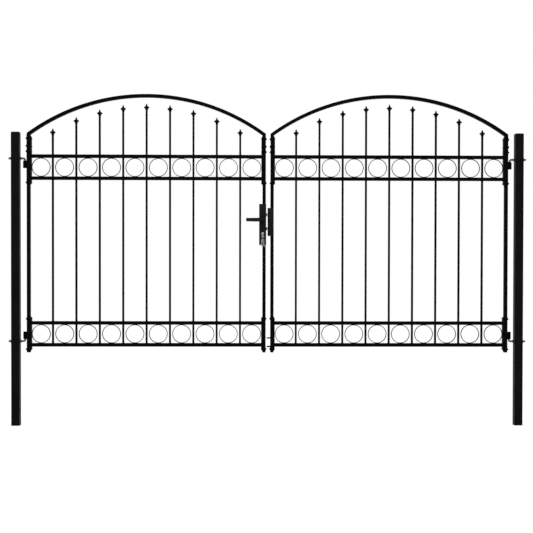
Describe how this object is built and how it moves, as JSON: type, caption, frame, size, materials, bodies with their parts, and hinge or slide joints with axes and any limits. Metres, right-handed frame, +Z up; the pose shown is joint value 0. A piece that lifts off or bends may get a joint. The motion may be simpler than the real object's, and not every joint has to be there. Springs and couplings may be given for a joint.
{
  "type": "double-leaf fence gate",
  "caption": "Arched double-leaf steel gate between square posts, with pickets, spearheads, ring bands, hook hinges, a lever lock and a keep.",
  "frame": {"origin": "middle of the left post's foot face, seen from the key side", "axes": "+X across the opening to the right post, +Y to the back, away from the key, +Z up"},
  "size_m": [3.136, 0.15, 2.0049],
  "materials": {
    "post_coat": "semi-gloss black powder coat on square steel tube",
    "frame_coat": "semi-gloss black powder coat on steel tube and bar",
    "casting_coat": "black powder coat on cast metal",
    "lock_coat": "satin black coat on the lock furniture",
    "hinge_zinc": "zinc-plated steel bar and nuts",
    "nickel_plate": "satin nickel plate",
    "bright_steel": "plain bright steel",
    "dark_steel": "blackened steel"
  },
  "bodies": {
    "posts": {"left_post": "post_coat", "right_post": "post_coat", "left_post_cap": "post_coat", "right_post_cap": "post_coat", "left_hinge_hooks": "hinge_zinc", "right_hinge_hooks": "hinge_zinc", "left_hook_nuts": "hinge_zinc", "right_hook_nuts": "hinge_zinc"},
    "left_leaf": {"left_arch": "frame_coat", "left_hinge_barrels": "frame_coat", "left_hinge_stile": "frame_coat", "left_hinge_stile_trim": "casting_coat", "left_lower_rails": "frame_coat", "left_lower_rings": "frame_coat", "left_meeting_stile": "frame_coat", "left_meeting_stile_trim": "casting_coat", "left_pickets": "frame_coat", "left_spearheads": "casting_coat", "left_upper_rails": "frame_coat", "left_upper_rings": "frame_coat", "lock_box": "frame_coat", "lock_case": "bright_steel", "front_backplate": "lock_coat", "rear_backplate": "lock_coat", "lock_cylinder": "nickel_plate", "key_in_lock": "nickel_plate", "key_ring": "bright_steel", "hanging_keys": "nickel_plate"},
    "right_leaf": {"right_arch": "frame_coat", "right_hinge_barrels": "frame_coat", "right_hinge_stile": "frame_coat", "right_hinge_stile_trim": "casting_coat", "right_lower_rails": "frame_coat", "right_lower_rings": "frame_coat", "right_meeting_stile": "frame_coat", "right_meeting_stile_trim": "casting_coat", "right_pickets": "frame_coat", "right_spearheads": "casting_coat", "right_upper_rails": "frame_coat", "right_upper_rings": "frame_coat", "keep": "lock_coat", "drop_rod_guides": "frame_coat"},
    "lever_set": {"front_lever": "lock_coat", "rear_lever": "lock_coat", "lever_spindle": "bright_steel"},
    "latch": {"latch_bolt": "nickel_plate"},
    "bolt": {"dead_bolt": "dark_steel"}
  },
  "joints": [
    {"name": "left_leaf_swing", "type": "hinge", "parent": "posts", "child": "left_leaf", "pos_m": [0.056, 0, 1.579], "axis": [0, 0, 1], "range_deg": [-90, 90]},
    {"name": "right_leaf_swing", "type": "hinge", "parent": "posts", "child": "right_leaf", "pos_m": [2.994, 0, 1.579], "axis": [0, 0, -1], "range_deg": [-90, 90]},
    {"name": "lever_turn", "type": "hinge", "parent": "left_leaf", "child": "lever_set", "pos_m": [1.492, 0, 1.248], "axis": [0, -1, 0], "range_deg": [0, 40], "stiffness_Nm_per_rad": 1, "springref_deg": -57.3},
    {"name": "latch_slide", "type": "slide", "parent": "left_leaf", "child": "latch", "axis": [1, 0, 0], "range_m": [-0.008, 0]},
    {"name": "dead_bolt_slide", "type": "slide", "parent": "left_leaf", "child": "bolt", "axis": [1, 0, 0], "range_m": [-0.007, 0.014]}
  ],
  "couplings": [
    {"joint": "latch_slide", "follows": "lever_turn", "m_per_rad": -0.011459}
  ]
}
